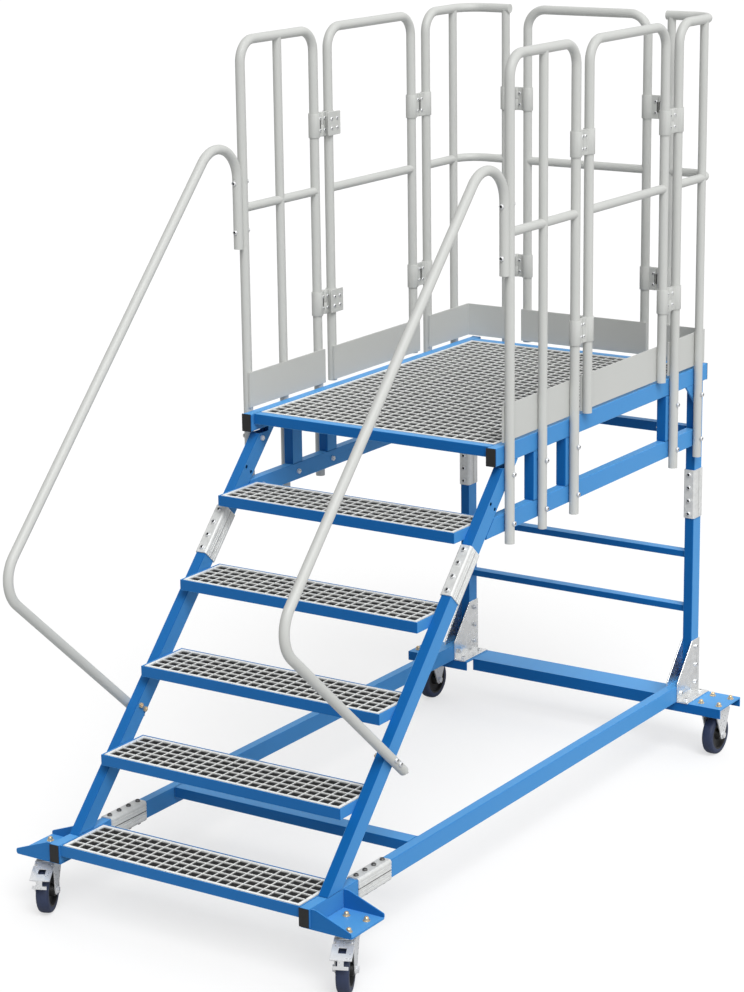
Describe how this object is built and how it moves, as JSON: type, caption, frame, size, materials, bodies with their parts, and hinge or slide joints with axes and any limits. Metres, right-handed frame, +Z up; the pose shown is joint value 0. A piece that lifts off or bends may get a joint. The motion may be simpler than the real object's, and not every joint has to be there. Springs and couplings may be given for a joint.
{
  "type": "mobile stair platform",
  "caption": "Mobile stair platform on castors: open-grid steps and deck, bent side handrails, tubular guardrails with toe boards and hinged gates.",
  "frame": {"origin": "on the floor, at the middle of the part's width and length", "axes": "+X to the right of someone who climbs the stair, +Y from the foot of the stair to the rear, +Z up"},
  "size_m": [1.124, 2.2805, 2.25],
  "materials": {
    "frame_coat": "satin blue powder coat",
    "guard_coat": "satin light grey powder coat",
    "galvanised_steel": "dull galvanised steel",
    "zinc_steel": "bright zinc plate",
    "black_plastic": "moulded, matt",
    "tyre_rubber": "solid blue-grey rubber, matt"
  },
  "bodies": {
    "frame": {"base_stubs": "frame_coat", "front_castor_brackets": "frame_coat", "base_rails": "frame_coat", "base_cross_tube": "frame_coat", "rear_beam": "frame_coat", "rear_castor_brackets": "frame_coat", "legs": "frame_coat", "leg_gussets": "galvanised_steel", "leg_rungs": "frame_coat", "base_couplings": "galvanised_steel", "leg_couplings": "galvanised_steel", "stair_couplings": "galvanised_steel", "coupling_bolts": "zinc_steel", "upper_side_rails": "frame_coat", "platform_cross_tubes": "frame_coat", "lower_side_rails": "frame_coat", "platform_struts": "frame_coat", "lower_cross_tube": "frame_coat", "leg_stubs": "frame_coat", "stringer_stubs": "frame_coat", "corner_gussets": "frame_coat", "end_caps": "black_plastic", "platform_grating": "galvanised_steel", "stringers": "frame_coat", "step_1": "frame_coat", "step_2": "frame_coat", "step_3": "frame_coat", "step_4": "frame_coat", "step_5": "frame_coat", "step_gratings": "galvanised_steel", "left_handrail": "guard_coat", "right_handrail": "guard_coat", "left_front_guard": "guard_coat", "right_front_guard": "guard_coat", "left_corner_guard": "guard_coat", "right_corner_guard": "guard_coat", "post_clamps": "guard_coat", "frame_bolts": "zinc_steel", "castor_plates": "zinc_steel", "rear_castor_forks": "zinc_steel"},
    "left_gate_leaf": {"left_gate": "guard_coat", "left_gate_clamps": "guard_coat"},
    "right_gate_leaf": {"right_gate": "guard_coat", "right_gate_clamps": "guard_coat"},
    "rear_gate_leaf": {"rear_gate": "guard_coat", "rear_gate_clamps": "guard_coat"},
    "left_front_castor": {"left_front_fork": "zinc_steel"},
    "left_front_wheel": {"left_front_tyre": "tyre_rubber", "left_front_hub": "black_plastic"},
    "left_front_brake": {"left_front_pedal": "zinc_steel"},
    "right_front_castor": {"right_front_fork": "zinc_steel"},
    "right_front_wheel": {"right_front_tyre": "tyre_rubber", "right_front_hub": "black_plastic"},
    "right_front_brake": {"right_front_pedal": "zinc_steel"},
    "left_rear_wheel": {"left_rear_tyre": "tyre_rubber", "left_rear_hub": "black_plastic"},
    "right_rear_wheel": {"right_rear_tyre": "tyre_rubber", "right_rear_hub": "black_plastic"}
  },
  "joints": [
    {"name": "left_gate_hinge", "type": "hinge", "parent": "frame", "child": "left_gate_leaf", "pos_m": [-0.4285, 0.32183, 1.2], "axis": [0, 0, -1], "range_deg": [0, 90]},
    {"name": "right_gate_hinge", "type": "hinge", "parent": "frame", "child": "right_gate_leaf", "pos_m": [0.4285, 0.84683, 1.2], "axis": [0, 0, -1], "range_deg": [0, 90]},
    {"name": "rear_gate_hinge", "type": "hinge", "parent": "frame", "child": "rear_gate_leaf", "pos_m": [-0.245, 1.12183, 1.2], "axis": [0, 0, -1], "range_deg": [0, 90]},
    {"name": "left_front_swivel", "type": "hinge", "parent": "frame", "child": "left_front_castor", "pos_m": [-0.48, -0.95367, 0.15], "axis": [0, 0, 1], "continuous": true},
    {"name": "left_front_roll", "type": "hinge", "parent": "left_front_castor", "child": "left_front_wheel", "pos_m": [-0.46536, -0.98656, 0.0625], "axis": [0.9135, 0.4067, 0], "continuous": true},
    {"name": "left_front_brake_pedal", "type": "hinge", "parent": "left_front_castor", "child": "left_front_brake", "pos_m": [-0.46048, -0.99752, 0.138], "axis": [0.9135, 0.4067, 0], "range_deg": [0, 10], "stiffness_Nm_per_rad": 0.8},
    {"name": "left_rear_roll", "type": "hinge", "parent": "frame", "child": "left_rear_wheel", "pos_m": [-0.513, 1.03733, 0.0625], "axis": [1, 0, 0], "continuous": true},
    {"name": "right_front_swivel", "type": "hinge", "parent": "frame", "child": "right_front_castor", "pos_m": [0.48, -0.95367, 0.15], "axis": [0, 0, 1], "continuous": true},
    {"name": "right_front_roll", "type": "hinge", "parent": "right_front_castor", "child": "right_front_wheel", "pos_m": [0.49464, -0.98656, 0.0625], "axis": [0.9135, 0.4067, 0], "continuous": true},
    {"name": "right_front_brake_pedal", "type": "hinge", "parent": "right_front_castor", "child": "right_front_brake", "pos_m": [0.49952, -0.99752, 0.138], "axis": [0.9135, 0.4067, 0], "range_deg": [0, 10], "stiffness_Nm_per_rad": 0.8},
    {"name": "right_rear_roll", "type": "hinge", "parent": "frame", "child": "right_rear_wheel", "pos_m": [0.513, 1.03733, 0.0625], "axis": [1, 0, 0], "continuous": true}
  ]
}
